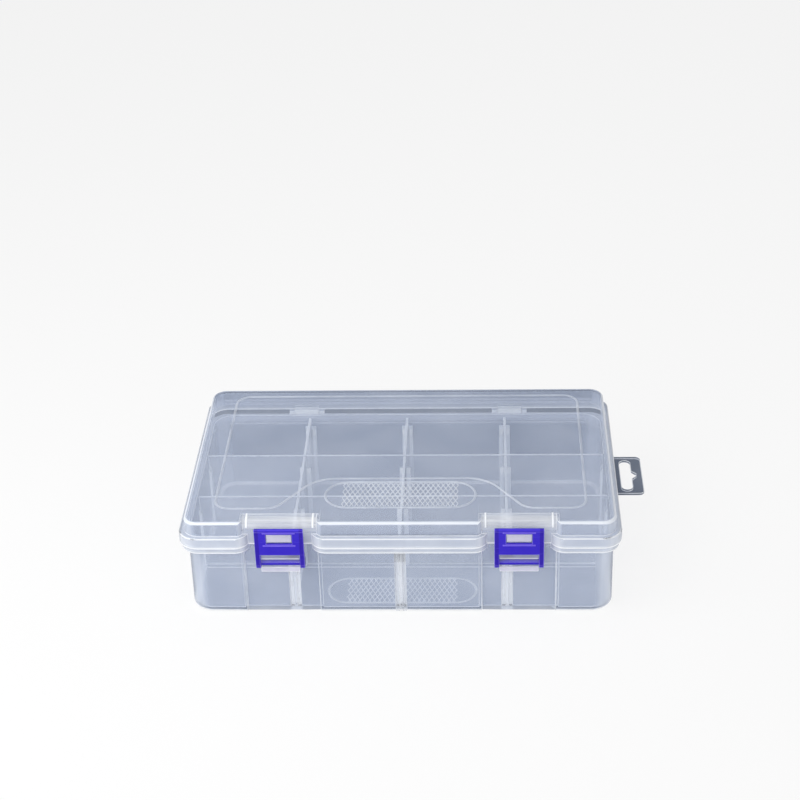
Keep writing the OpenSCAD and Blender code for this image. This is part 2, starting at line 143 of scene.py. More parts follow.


# %% [markdown]
# ## Moulded plastic
# Polypropylene that has flowed into a mould is never quite even. It carries faint clouds where
# the flow slowed down, fine scuffs from the first handling, and where a wall turns a corner one
# looks through more plastic, so the turn is whiter. That whiter turn is also a painted highlight,
# standing for the light that lamps leave on rounded edges, so it is full on edges that run level
# and weaker on upright corners. Every plastic here shares this, so it is one node group: it puts
# out a cloud mask, a turn mask, a scuff mask and a height for the bump. The clouds can be
# stretched along one axis, which makes them the fine streaks of a ribbed wall.

# %% Group: moulded surface
def moulded_group():
    tree = bpy.data.node_groups.new("moulded_surface", "ShaderNodeTree")
    sockets = tree.interface
    stretch = sockets.new_socket("Cloud Stretch", in_out="INPUT", socket_type="NodeSocketVector")
    stretch.default_value = (1.0, 1.0, 1.0)
    for name, start in (("Cloud Size", 0.03), ("Turn Width", 0.12), ("Side Turn", 0.35),
                        ("Scuff Depth", 0.5)):
        socket = sockets.new_socket(name, in_out="INPUT", socket_type="NodeSocketFloat")
        socket.default_value = start
    for name in ("Clouds", "Turn", "Scuffs", "Height"):
        sockets.new_socket(name, in_out="OUTPUT", socket_type="NodeSocketFloat")
    given = tree.nodes.new("NodeGroupInput")
    result = tree.nodes.new("NodeGroupOutput")
    place = add_node(tree, "ShaderNodeTexCoord")

    cloud_scale = calc(tree, "DIVIDE", 1.0, given.outputs["Cloud Size"])
    flow = add_node(tree, "ShaderNodeMapping", Vector=place.outputs["Object"],
                    Scale=given.outputs["Cloud Stretch"])
    clouds = add_node(tree, "ShaderNodeTexNoise", Vector=flow.outputs[0],
                      Scale=cloud_scale, Detail=3.0, Roughness=0.55, Distortion=0.6)

    facing = add_node(tree, "ShaderNodeVectorMath", {"operation": "ABSOLUTE"})
    put(tree, facing, 0, place.outputs["Normal"])
    parts = add_node(tree, "ShaderNodeSeparateXYZ", Vector=facing.outputs[0])
    widest = calc(tree, "MAXIMUM", calc(tree, "MAXIMUM", parts.outputs[0], parts.outputs[1]),
                  parts.outputs[2])
    away = calc(tree, "SUBTRACT", 1.0, widest)
    turn = calc(tree, "MINIMUM", calc(tree, "DIVIDE", away, given.outputs["Turn Width"]), 1.0)
    # The turn mask is partly painted highlight: full where an edge runs level, cut to Side Turn on upright
    # corners.
    level = rescale(tree, parts.outputs[2], 0.05, 0.35)
    rest = calc(tree, "SUBTRACT", 1.0, given.outputs["Side Turn"])
    level = calc(tree, "ADD", given.outputs["Side Turn"], calc(tree, "MULTIPLY", level, rest))
    turn = calc(tree, "MULTIPLY", turn, level)

    stretched = add_node(tree, "ShaderNodeMapping", Vector=place.outputs["Object"],
                         Rotation=(0.0, 0.0, radians(24)), Scale=(90.0, 900.0, 900.0))
    scuffs = add_node(tree, "ShaderNodeTexNoise", Vector=stretched.outputs[0],
                      Scale=1.0, Detail=2.0, Roughness=0.6)
    fine = rescale(tree, scuffs.outputs[0], 0.62, 0.78)
    height = calc(tree, "MULTIPLY", fine, given.outputs["Scuff Depth"])

    tree.links.new(clouds.outputs[0], result.inputs["Clouds"])
    tree.links.new(turn, result.inputs["Turn"])
    tree.links.new(fine, result.inputs["Scuffs"])
    tree.links.new(height, result.inputs["Height"])
    return tree


MOULDED = moulded_group()
print("group", MOULDED.name, "with", len(MOULDED.nodes), "nodes")


# %% [markdown]
# ## Clear, dense and violet plastic
# The haze of a clear wall is a thin veil: a pale blue-grey colour that covers only a part of
# what lies behind. Veils add up, so four walls in a row look whiter than one, as they do in the
# real box. The share a veil covers is the material's alpha. It grows where the wall is seen
# at a slant, because the eye's path through it is longer there, which Layer Weight gives.

# %% Clear plastic
MOST_HIDDEN = 0.95
POLYPROPYLENE_IOR = 1.49


def veil_material(name, color, bright, cover, roughness=0.16, cloud_size=0.03, stretch=(1, 1, 1)):
    """See-through plastic: color for a flat wall, bright for its turns and clouds.

    cover names the share of what lies behind that the plastic hides: on a flat face looked at
    straight on, and what a slanted view, a turn and a cloud each add to it.
    """
    material = bpy.data.materials.new(name)
    material.use_nodes = True
    tree = material.node_tree
    shader = tree.nodes["Principled BSDF"]
    surface = add_node(tree, "ShaderNodeGroup", {"node_tree": MOULDED},
                       Cloud_Size=cloud_size, Cloud_Stretch=stretch, Scuff_Depth=0.35)
    slant = add_node(tree, "ShaderNodeLayerWeight", Blend=0.35)
    clouds = rescale(tree, surface.outputs["Clouds"], 0.3, 0.7)
    turn = surface.outputs["Turn"]
    scuffs = surface.outputs["Scuffs"]

    # The turn's whitening is partly the longer path through plastic and partly a painted highlight on
    # rounded edges; it raises the colour here and the cover below.
    whiter = calc(tree, "ADD", calc(tree, "MULTIPLY", clouds, 0.25), turn)
    whiter = calc(tree, "ADD", whiter, calc(tree, "MULTIPLY", scuffs, 0.15))
    whiter = calc(tree, "MINIMUM", whiter, 1.0)
    put(tree, shader, "Base Color", blend_colors(tree, whiter, (*color, 1.0), (*bright, 1.0)))

    hidden = cover["flat"]
    for mask, share in ((slant.outputs["Facing"], "slant"), (turn, "turn"), (clouds, "cloud")):
        hidden = calc(tree, "ADD", hidden, calc(tree, "MULTIPLY", mask, cover[share]))
    put(tree, shader, "Alpha", calc(tree, "MINIMUM", hidden, MOST_HIDDEN))

    put(tree, shader, "Roughness", calc(tree, "ADD", roughness, calc(tree, "MULTIPLY", scuffs, 0.12)))
    bump = add_node(tree, "ShaderNodeBump", Strength=0.15, Distance=0.0002,
                    Height=surface.outputs["Height"])
    put(tree, shader, "Normal", bump.outputs[0])
    shader.inputs["IOR"].default_value = POLYPROPYLENE_IOR
    return material


HAZE = (0.58, 0.66, 0.83)
MILK = (0.74, 0.80, 0.93)
LILAC = (0.76, 0.74, 0.90)
FROST = (0.87, 0.91, 0.98)
WHITE = (0.95, 0.97, 1.00)
clear_wall = veil_material("clear_wall", HAZE, FROST,
                           {"flat": 0.22, "slant": 0.12, "turn": 0.55, "cloud": 0.08}, cloud_size=0.045)
clear_top = veil_material("clear_top", HAZE, FROST,
                          {"flat": 0.18, "slant": 0.10, "turn": 0.55, "cloud": 0.07}, cloud_size=0.045)
clear_tab = veil_material("clear_tab", HAZE, FROST,
                          {"flat": 0.07, "slant": 0.06, "turn": 0.30, "cloud": 0.05})
clear_band = veil_material("clear_band", MILK, WHITE,
                           {"flat": 0.30, "slant": 0.12, "turn": 0.40, "cloud": 0.10})
clear_shoulder = veil_material("clear_shoulder", MILK, WHITE,
                               {"flat": 0.15, "slant": 0.06, "turn": 0.05, "cloud": 0.26},
                               cloud_size=0.0015, stretch=(0.04, 1, 1))
# White line finish: the floor's line and groove, painted light along the rim and lip, and a painted
# highlight at the shoulders' ends.
clear_bead = veil_material("clear_bead", WHITE, WHITE,
                           {"flat": 0.70, "slant": 0.10, "turn": 0.10, "cloud": 0.15})
# Painted light on the tray's lowest strip, where the underside lies in shade.
clear_foot = veil_material("clear_foot", MILK, WHITE,
                           {"flat": 0.38, "slant": 0.10, "turn": 0.25, "cloud": 0.20}, cloud_size=0.02)
clear_floor = veil_material("clear_floor", MILK, WHITE,
                            {"flat": 0.28, "slant": 0.08, "turn": 0.20, "cloud": 0.12}, cloud_size=0.03)
# Partly thicker plastic over the ribs, partly painted light where the flange shades the front wall.
clear_column = veil_material("clear_column", FROST, WHITE,
                             {"flat": 0.08, "slant": 0.06, "turn": 0.20, "cloud": 0.30},
                             cloud_size=0.0014, stretch=(1, 1, 0.04))
clip_plastic = veil_material("clip_plastic", LILAC, WHITE,
                             {"flat": 0.05, "slant": 0.03, "turn": 0.03, "cloud": 0.04}, cloud_size=0.012)
clip_shelf = veil_material("clip_shelf", LILAC, WHITE,
                           {"flat": 0.34, "slant": 0.10, "turn": 0.20, "cloud": 0.10}, cloud_size=0.012)
catch_plastic = veil_material("catch_plastic", LILAC, WHITE,
                              {"flat": 0.50, "slant": 0.10, "turn": 0.20, "cloud": 0.10}, cloud_size=0.012)
clear_ridge = veil_material("clear_ridge", MILK, FROST,
                            {"flat": 0.26, "slant": 0.12, "turn": 0.10, "cloud": 0.18}, cloud_size=0.02)
# Crease finish: whiter and denser, partly thicker plastic on edge and partly a painted highlight.
clear_edge = veil_material("clear_edge", FROST, WHITE,
                           {"flat": 0.42, "slant": 0.12, "turn": 0.14, "cloud": 0.36}, cloud_size=0.018)
divider_wall = veil_material("divider_wall", MILK, FROST,
                             {"flat": 0.20, "slant": 0.16, "turn": 0.20, "cloud": 0.05}, 0.22)
divider_rib = veil_material("divider_rib", FROST, WHITE,
                            {"flat": 0.80, "slant": 0.10, "turn": 0.05, "cloud": 0.12}, 0.2, 0.02)
divider_edge = veil_material("divider_edge", FROST, WHITE,
                             {"flat": 0.75, "slant": 0.10, "turn": 0.05, "cloud": 0.20}, 0.25, 0.02)
print("clear plastics:", len(bpy.data.materials))


# %% Violet plastic
def violet_material(name, color, bright):
    """Opaque glossy plastic, lighter where it is rubbed, with a painted highlight on its rounded turns."""
    material = bpy.data.materials.new(name)
    material.use_nodes = True
    tree = material.node_tree
    shader = tree.nodes["Principled BSDF"]
    surface = add_node(tree, "ShaderNodeGroup", {"node_tree": MOULDED},
                       Cloud_Size=0.012, Scuff_Depth=0.5)
    # Turns get a painted highlight; the scuffs are real rubbing and the clouds real tone.
    lighter = calc(tree, "ADD", calc(tree, "MULTIPLY", surface.outputs["Turn"], 0.5),
                   calc(tree, "MULTIPLY", surface.outputs["Scuffs"], 0.15))
    lighter = calc(tree, "ADD", lighter, rescale(tree, surface.outputs["Clouds"], 0.35, 0.8, 0.0, 0.12))
    put(tree, shader, "Base Color", blend_colors(tree, lighter, (*color, 1.0), (*bright, 1.0)))
    put(tree, shader, "Roughness", rescale(tree, surface.outputs["Scuffs"], 0.0, 1.0, 0.24, 0.4))
    bump = add_node(tree, "ShaderNodeBump", Strength=0.2, Distance=0.0002,
                    Height=surface.outputs["Height"])
    put(tree, shader, "Normal", bump.outputs[0])
    shader.inputs["Specular IOR Level"].default_value = 0.2
    return material


violet = violet_material("violet_latch", (0.030, 0.012, 0.52), (0.10, 0.07, 0.75))
# Painted shade: a darker violet on the sides of a latch.
violet_side = violet_material("violet_side", (0.020, 0.005, 0.36), (0.08, 0.05, 0.62))
# Painted highlight: a lighter violet on the latches' rounded creases.
violet_edge = violet_material("violet_edge", (0.10, 0.06, 0.66), (0.36, 0.28, 0.95))


# %% [markdown]
# ## Rounded creases
# A moulded piece has no knife edges. A copy of each solid is welded together, its flat areas are
# joined into single faces, and a Bevel modifier then rounds every crease sharper than thirty
# degrees. The modifier can hand the new faces a material of their own, which is how
# each crease gets the denser, whiter finish, partly a painted highlight along the edge.
# A face that lies square to an axis is a flat wall and is shaded flat, so that the cuts made in it
# for a change of finish don't show. Where creases of different directions meet, the bevel throws
# a few corners slightly past the solid, and these are put back onto its box.

# %% Skins
WELD = 2e-6
FLAT_ANGLE = radians(0.3)
CREASE_ANGLE = radians(30)
SQUARE_TO_AXIS = 0.99999


def skin(node, finish, edge_finish_and_highlight, width, cuts=()):
    """A welded, rounded copy of a CAD node that takes its place.

    Each of cuts is an axis and a place on it. It splits the flat faces there, so that each side
    can have a finish of its own.
    """
    mesh = bpy.data.meshes.new(node + "_skin")
    shape = bmesh.new()
    shape.from_mesh(frame["nodes"][node].data)
    bmesh.ops.remove_doubles(shape, verts=shape.verts, dist=WELD)
    bmesh.ops.dissolve_limit(shape, angle_limit=FLAT_ANGLE, verts=shape.verts, edges=shape.edges)
    for axis, place in cuts:
        everything = shape.verts[:] + shape.edges[:] + shape.faces[:]
        across = Vector((axis == "X", axis == "Y", axis == "Z"))
        bmesh.ops.bisect_plane(shape, geom=everything, plane_co=across * place, plane_no=across)
    shape.normal_update()
    for face in shape.faces:
        face.smooth = max(map(abs, face.normal)) < SQUARE_TO_AXIS
        face.material_index = 0
    shape.to_mesh(mesh)
    shape.free()
    mesh.materials.append(finish)
    mesh.materials.append(edge_finish_and_highlight)
    piece = bpy.data.objects.new(node + "_skin", mesh)
    scene.collection.objects.link(piece)
    bevel = piece.modifiers.new("creases", "BEVEL")
    bevel.width = width
    bevel.segments = 2
    bevel.limit_method = "ANGLE"
    bevel.angle_limit = CREASE_ANGLE
    bevel.use_clamp_overlap = False
    bevel.material = 1
    even = piece.modifiers.new("even_shading", "WEIGHTED_NORMAL")
    even.mode = "FACE_AREA"
    even.weight = 90
    even.keep_sharp = True
    bake_modifiers(piece)
    keep_inside(piece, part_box(node))
    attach(piece, node)
    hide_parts(node)
    print(node, "has", len(piece.data.polygons), "faces")
    return piece


def bake_modifiers(piece):
    """Turns a piece with modifiers into a plain mesh."""
    evaluated = piece.evaluated_get(bpy.context.evaluated_depsgraph_get())
    piece.data = bpy.data.meshes.new_from_object(evaluated)
    piece.data.name = piece.name
    piece.modifiers.clear()


def keep_inside(piece, box):
    """Moves the few corners that the bevel throws past the solid's box back onto it."""
    low, high = box
    for vertex in piece.data.vertices:
        vertex.co = [min(max(value, start), end) for value, start, end in zip(vertex.co, low, high)]


def repaint(piece, finish, picks, with_creases=False):
    """Gives another finish to the faces whose middle picks() accepts."""
    new = len(piece.data.materials)
    piece.data.materials.append(finish)
    chosen = [face for face in piece.data.polygons
              if picks(face.center) and (with_creases or face.material_index != 1)]
    for face in chosen:
        face.material_index = new
    print(piece.name, finish.name, len(chosen), "faces")


# %% [markdown]
# ## Where the plastic is thicker, and where light is painted
# One wall thickness runs through the whole moulding, but the eye meets more of it at the lid's
# rim, the flange, the guide ribs and the latch clips, so those read as whiter. Each of these
# zones is found from the frame: the hinge and the latch pivots say how high the rim and the
# clips are, and the dividers say where the guide ribs stand. Other zones carry painted light or
# shade: a painted highlight on the upright strips at the ends of a shoulder, painted light along
# the bottom of the lid's rim, the flange's lip and the tray's foot, partly painted light on the
# front wall before the guide ribs, and painted shade on the sides of a latch.
#
# Some zones end in the middle of a flat face, so the face is cut there first: the painted light
# along the lid's rim and along the tray's flange, the thin line on the floor, the dividers' feet, the
# painted highlight on the upright strips at the ends of a shoulder, and the painted shade on the
# sides of a latch.

# %% Zones
joint_place = {joint["name"]: Vector(joint["pos_m"]) for joint in frame["joints"] if "pos_m" in joint}
pivots = [joint_place["latch_left_pivot"], joint_place["latch_right_pivot"]]
column_x = [sum(corner.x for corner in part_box(f"divider_front_{side}")) / 2
            for side in ("left", "centre", "right")]
row_y = [sum(corner.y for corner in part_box(f"row_divider_{row}")) / 2 for row in ("front", "rear")]
inside_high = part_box("row_divider_front")[1]
front_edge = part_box("divider_front_left")[0].y
back_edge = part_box("divider_rear_left")[1].y

# How far a face's middle may lie from the height or place that names it.
HAIR = 0.00001
NEAR = 0.00005
SLACK = 0.0001

# Heights, from the hinge up and down.
PARTING_ABOVE_HINGE = 0.001
PARTING = joint_place["lid_hinge"].z + PARTING_ABOVE_HINGE
RIM_H = 0.0066
RIM_TOP = PARTING + RIM_H
RIDGE_H = 0.0005
LID_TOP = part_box("lid")[1].z - RIDGE_H
LID_WALL = 0.0014
FLANGE_DROP = 0.0038
# A strip this tall along the bottom of the lid's rim and of the flange's lip gets painted light.
LIT_LINE_H = 0.0009
LIP_LIT_LINE_TOP = PARTING - FLANGE_DROP + LIT_LINE_H

# The lid's shoulders over the latches, and the upright strips at their ends, which get a painted highlight.
SHOULDER_DEPTH = 0.0124
SHOULDER_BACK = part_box("lid")[0].y + SHOULDER_DEPTH
SHOULDER_REACH = 0.0197
SPOT_IN, SPOT_OUT = 0.0172, 0.0181
SPOT_DROP = 0.0045

# The tray's floor, foot and tab. The line on the floor runs in front of the front long divider.
FLOOR_TOP = 0.0014
FOOT_TOP = 0.0024
GROOVE_DEPTH = 0.0003
LINE_NEAR, LINE_FAR = 0.0034, 0.0024
TAB_LENGTH = 0.0166
TAB_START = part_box("tray")[1].x - TAB_LENGTH

# The dividers and the ribs that guide them.
DIVIDER_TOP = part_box("row_divider_front")[1].z
DIVIDER_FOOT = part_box("row_divider_front")[0].z
DIVIDER_GAP = 0.0002
EDGE_DEPTH = 0.0003
FOOT_LINE = 0.0007
RIB_REACH = 0.0031
RIB_DEPTH = 0.0045
RIB_TOP = 0.0386
RIB_PAST_END = RIB_REACH / 2
RIB_PAST_SIDE = RIB_REACH / 5

# This far in front of the dividers lies a place between the two faces of a notch's wall.
WALL_SPLIT = 0.001

# The latches, their clips and their catches. CATCH_FOOT counts from the parting height, and the
# others from a latch's pivot or middle.
CATCH_REACH = 0.0072
CATCH_BACK = 0.0015
CATCH_FOOT = 0.002
CLIP_REACH = 0.0106
CLIP_BACK = 0.0034
CLIP_UP = 0.0041
CLIP_DOWN = 0.0051
CLIP_LIP = 0.0017
CLIP_SHELF = 2 * CLIP_LIP
LATCH_SIDE = 0.0108


def near_latch(point, reach):
    """The pivot of the latch that a point lies in front of, or None."""
    return next((pivot for pivot in pivots if abs(point.x - pivot.x) < reach), None)


def on_catch(point):
    pivot = near_latch(point, CATCH_REACH)
    return pivot is not None and point.y < pivot.y + CATCH_BACK and point.z > PARTING + CATCH_FOOT


def on_clip(point):
    pivot = near_latch(point, CLIP_REACH)
    if pivot is None or point.y > pivot.y + CLIP_BACK:
        return False
    return -CLIP_DOWN < point.z - pivot.z < CLIP_UP


def on_clip_foot(point):
    return on_clip(point) and point.z < pivots[0].z - CLIP_LIP


def on_clip_shelf(point):
    return on_clip(point) and point.z > pivots[0].z + CLIP_SHELF


def on_clip_top(point):
    """True on the rounding along the front of a clip's shelf."""
    return on_clip_shelf(point) and point.y < pivots[0].y - CLIP_LIP


def on_clip_middle(point):
    return on_clip(point) and point.z > pivots[0].z


def on_rim(point):
    return point.z < RIM_TOP


# Painted light along the bottom of the lid's rim.
def on_rim_painted_light(point):
    return point.z < PARTING + LIT_LINE_H


def on_lid_plate(point):
    """True on both faces of the lid's flat top."""
    return min(abs(point.z - LID_TOP), abs(point.z - LID_TOP + LID_WALL)) < HAIR


def on_shoulder(point):
    pivot = near_latch(point, SHOULDER_REACH)
    return pivot is not None and point.y < SHOULDER_BACK and RIM_TOP < point.z < LID_TOP - HAIR


def on_shoulder_painted_highlight(point):
    """True on the two upright strips at a shoulder's ends, which get a painted highlight where the lamps
    glance off its corners.
    """
    pivot = near_latch(point, SPOT_OUT)
    if pivot is None or not on_shoulder(point):
        return False
    return abs(point.x - pivot.x) > SPOT_IN and point.z > LID_TOP - SPOT_DROP


def on_ridge(point):
    return point.z > LID_TOP + 2 * HAIR


def on_flange(point):
    return PARTING - FLANGE_DROP < point.z < PARTING and point.x < TAB_START


# Painted light along the bottom of the flange's lip.
def on_lip_painted_light(point):
    return PARTING - FLANGE_DROP < point.z < LIP_LIT_LINE_TOP and point.x < TAB_START


def on_floor(point):
    return abs(point.z - FLOOR_TOP) < NEAR


def on_floor_line(point):
    """True on the floor's narrow strip in front of the front long divider."""
    return on_floor(point) and LINE_FAR < row_y[0] - point.y < LINE_NEAR


def on_groove(point):
    return abs(point.z - FLOOR_TOP + GROOVE_DEPTH) < SLACK


def on_foot_painted_light(point):
    """True on the tray's lowest strip, which gets painted light against the shade below it, but not on the
    underside itself.
    """
    return SLACK < point.z < FOOT_TOP


def on_tab(point):
    return point.x > TAB_START


def on_tray_rib(point):
    """True for the middle of a face on one of the guide ribs inside the tray.

    The inner face of a notch's wall lies within the ribs' reach, but isn't one of them.
    """
    on_wall = abs(point.y - front_edge + DIVIDER_GAP) < SLACK
    if on_wall or FLOOR_TOP / 2 < point.z < FLOOR_TOP + 2 * SLACK or point.z > RIB_TOP:
        return False
    by_column = min(abs(point.x - x) for x in column_x) < RIB_REACH
    at_ends = (front_edge - RIB_PAST_END < point.y < front_edge + RIB_DEPTH
               or back_edge - RIB_DEPTH < point.y < back_edge + RIB_PAST_END)
    by_row = min(abs(point.y - y) for y in row_y) < RIB_REACH
    at_sides = inside_high.x - RIB_DEPTH < abs(point.x) < inside_high.x + RIB_PAST_SIDE
    return by_column and at_ends or by_row and at_sides


def on_column_front(point):
    """True on the front wall, inside and outside a latch's notch, where guide ribs stand behind it; it is
    whiter partly for the ribs' plastic and partly as painted light against the flange's shade.
    """
    by_column = min(abs(point.x - x) for x in column_x) < RIB_REACH
    return by_column and point.y < front_edge - WALL_SPLIT and FOOT_TOP < point.z < PARTING - FLANGE_DROP


def on_divider_edge(point):
    ends = point.z > DIVIDER_TOP - EDGE_DEPTH or point.z < DIVIDER_FOOT + FOOT_LINE
    return ends or abs(point.y - front_edge) < EDGE_DEPTH


def on_divider_rib(point):
    return min(abs(point.x - x) for x in column_x) < RIB_REACH


# %% Dress every piece
LATCH_CREASE = 0.00022
DIVIDER_CREASE = 0.00025
TRAY_CREASE = 0.00028
LID_CREASE = 0.00022
for node in frame["nodes"]:
    if node.startswith("latch"):
        middle = sum(corner.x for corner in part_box(node)) / 2
        piece = skin(node, violet, violet_edge, LATCH_CREASE,
                     [("X", middle - LATCH_SIDE), ("X", middle + LATCH_SIDE)])
        # Painted shade on the latch's sides.
        repaint(piece, violet_side, lambda point: abs(point.x - middle) > LATCH_SIDE)
    elif node.startswith("row"):
        piece = skin(node, divider_wall, divider_edge, DIVIDER_CREASE,
                     [("Z", DIVIDER_FOOT + FOOT_LINE)])
        repaint(piece, divider_rib, on_divider_rib)
        repaint(piece, divider_edge, on_divider_edge)
    elif node.startswith("divider"):
        piece = skin(node, divider_wall, divider_edge, DIVIDER_CREASE)
        repaint(piece, divider_edge, on_divider_edge)
    elif node == "tray":
        piece = skin(node, clear_wall, clear_edge, TRAY_CREASE,
                     [("X", TAB_START), ("Z", LIP_LIT_LINE_TOP), ("Z", FOOT_TOP),
                      ("Z", pivots[0].z - CLIP_LIP), ("Y", row_y[0] - LINE_NEAR),
                      ("Y", row_y[0] - LINE_FAR), ("Y", front_edge + RIB_DEPTH)]
                     + [("X", x + side * RIB_REACH) for x in column_x for side in (-1, 1)])
        # Painted light on the foot.
        repaint(piece, clear_foot, on_foot_painted_light)
        repaint(piece, clear_floor, on_floor)
        repaint(piece, clear_bead, on_floor_line)
        repaint(piece, clear_bead, on_groove)
        repaint(piece, divider_rib, on_tray_rib)
        # Partly painted light on the front wall before the ribs.
        repaint(piece, clear_column, on_column_front)
        repaint(piece, clear_band, on_flange)
        # Painted light along the flange's lip.
        repaint(piece, clear_bead, on_lip_painted_light)
        repaint(piece, clear_tab, on_tab)
        repaint(piece, clip_plastic, on_clip)
        repaint(piece, clip_plastic, on_clip_middle, with_creases=True)
        repaint(piece, catch_plastic, on_clip_foot)
        repaint(piece, clip_shelf, on_clip_shelf)
        repaint(piece, catch_plastic, on_clip_top)
    else:
        piece = skin(node, clear_wall, clear_edge, LID_CREASE,
                     [("Z", PARTING + LIT_LINE_H)]
                     + [("X", pivot.x + side * place) for pivot in pivots for side in (-1, 1)
                        for place in (SPOT_IN, SPOT_OUT)])
        repaint(piece, clear_top, on_lid_plate)
        repaint(piece, clear_band, on_rim)
        # Painted light along the rim's bottom.
        repaint(piece, clear_bead, on_rim_painted_light)
        repaint(piece, clear_shoulder, on_shoulder)
        # Painted highlight on the strips at the shoulders' ends.
        repaint(piece, clear_bead, on_shoulder_painted_highlight)
        repaint(piece, clear_ridge, on_ridge, with_creases=True)
        repaint(piece, catch_plastic, on_catch)


# %% [markdown]
# ## The crosshatched panels
# Inside the oval on the lid, and inside the one on the floor, the mould leaves a field of fine
# crossing bars that a paper label sticks to. Each family of bars follows one rule, a line at a
# slant cut off at the sides of a rectangle, so Geometry Nodes work it out: points along a line
# stand for the bars, the formula for where a slanted line leaves a rectangle gives each bar's
# middle and length, and a small block is placed, turned and stretched on every point.

# %% Lattice tree
LATTICE_SIZES = (("Half Length", 0.03), ("Half Height", 0.011), ("Pitch", 0.0026), ("Slant", 0.7),
                 ("Bar Width", 0.0004), ("Bar Height", 0.0002))


def lattice_tree():
    """Bars at a slant both ways, cut off at the sides of a rectangle."""
    tree = bpy.data.node_groups.new("lattice", "GeometryNodeTree")
    for name, start in LATTICE_SIZES:
        socket = tree.interface.new_socket(name, in_out="INPUT", socket_type="NodeSocketFloat")
        socket.default_value = start
    tree.interface.new_socket("Place", in_out="INPUT", socket_type="NodeSocketVector")
    tree.interface.new_socket("Finish", in_out="INPUT", socket_type="NodeSocketMaterial")
    tree.interface.new_socket("Geometry", in_out="OUTPUT", socket_type="NodeSocketGeometry")
    given = tree.nodes.new("NodeGroupInput").outputs
    result = tree.nodes.new("NodeGroupOutput")
    along = calc(tree, "COSINE", given["Slant"])
    across = calc(tree, "SINE", given["Slant"])

    reach = calc(tree, "ADD", given["Half Length"],
                 calc(tree, "DIVIDE", given["Half Height"], calc(tree, "TANGENT", given["Slant"])))
    each_side = calc(tree, "FLOOR", calc(tree, "DIVIDE", reach, given["Pitch"]))
    count = calc(tree, "ADD", calc(tree, "MULTIPLY", each_side, 2.0), 1.0)
    number = tree.nodes.new("GeometryNodeInputIndex").outputs[0]
    foot = calc(tree, "MULTIPLY", calc(tree, "SUBTRACT", number, each_side), given["Pitch"])

    def leaves(side, choose):
        """Where a bar meets the rectangle's end or its long side, whichever comes first."""
        end = calc(tree, "SUBTRACT", calc(tree, "MULTIPLY", given["Half Length"], side), foot)
        long_side = calc(tree, "MULTIPLY", given["Half Height"], side)
        return calc(tree, choose, calc(tree, "DIVIDE", end, along), calc(tree, "DIVIDE", long_side, across))

    start, stop = leaves(-1.0, "MAXIMUM"), leaves(1.0, "MINIMUM")
    length = calc(tree, "SUBTRACT", stop, start)
    middle = calc(tree, "MULTIPLY", calc(tree, "ADD", start, stop), 0.5)
    line = add_node(tree, "GeometryNodeMeshLine", Count=count)
    block = add_node(tree, "GeometryNodeMeshCube")
    size = add_node(tree, "ShaderNodeCombineXYZ", X=length, Y=given["Bar Width"], Z=given["Bar Height"])
    both = tree.nodes.new("GeometryNodeJoinGeometry")
    for way in (-1.0, 1.0):
        x = calc(tree, "ADD", foot, calc(tree, "MULTIPLY", middle, along))
        y = calc(tree, "MULTIPLY", calc(tree, "MULTIPLY", middle, across), way)
        place = add_node(tree, "ShaderNodeCombineXYZ", X=x, Y=y)
        moved = add_node(tree, "GeometryNodeSetPosition", Geometry=line.outputs[0],
                         Position=place.outputs[0])
        angle = add_node(tree, "ShaderNodeCombineXYZ", Z=calc(tree, "MULTIPLY", given["Slant"], way))
        turned = add_node(tree, "FunctionNodeEulerToRotation", Euler=angle.outputs[0])
        long_enough = calc(tree, "GREATER_THAN", length, given["Bar Width"])
        bars = add_node(tree, "GeometryNodeInstanceOnPoints", Points=moved.outputs[0],
                        Selection=long_enough, Instance=block.outputs[0],
                        Rotation=turned.outputs[0], Scale=size.outputs[0])
        tree.links.new(bars.outputs[0], both.inputs[0])
    placed = add_node(tree, "GeometryNodeTransform", Geometry=both.outputs[0], Translation=given["Place"])
    real = add_node(tree, "GeometryNodeRealizeInstances", Geometry=placed.outputs[0])
    dressed = add_node(tree, "GeometryNodeSetMaterial", Geometry=real.outputs[0],
                       Material=given["Finish"])
    tree.links.new(dressed.outputs[0], result.inputs[0])
    return tree


LATTICE = lattice_tree()
print("lattice tree with", len(LATTICE.nodes), "nodes")


# %% Lay a lattice on the lid and on the floor
def crosshatch(name, body, finish, **inputs):
    """A lattice baked to a plain mesh that rides on a body."""
    piece = bpy.data.objects.new(name, bpy.data.meshes.new(name))
    scene.collection.objects.link(piece)
    modifier = piece.modifiers.new("lattice", "NODES")
    modifier.node_group = LATTICE
    inputs["Finish"] = finish
    for socket in LATTICE.interface.items_tree:
        if socket.name.replace(" ", "_") in inputs:
            modifier[socket.identifier] = inputs[socket.name.replace(" ", "_")]
    bake_modifiers(piece)
    for seen_by in ("visible_shadow", "visible_glossy", "visible_diffuse"):
        setattr(piece, seen_by, False)
    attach(piece, body)
    print(name, "has", len(piece.data.polygons), "faces")
    return piece


HATCH_PITCH = 0.0027
HATCH_SLANT = radians(66)
BAR_WIDTH = 0.00045
LID_BAR_H = 0.0003
FLOOR_BAR_H = 0.00018
SUNK = 0.00005
LID_PANEL_Y = -0.0443
FLOOR_PANEL_Y = -0.0518
lid_hatch = veil_material("lid_hatch", FROST, WHITE,
                          {"flat": 0.26, "slant": 0.06, "turn": 0.05, "cloud": 0.16}, cloud_size=0.015)
floor_hatch = veil_material("floor_hatch", WHITE, WHITE,
                            {"flat": 0.60, "slant": 0.10, "turn": 0.05, "cloud": 0.30}, cloud_size=0.015)
crosshatch("lid_crosshatch", "lid", lid_hatch, Half_Length=0.031, Half_Height=0.0114,
           Pitch=HATCH_PITCH, Slant=HATCH_SLANT, Bar_Width=BAR_WIDTH, Bar_Height=LID_BAR_H,
           Place=(0.0, LID_PANEL_Y, LID_TOP + LID_BAR_H / 2 - SUNK))
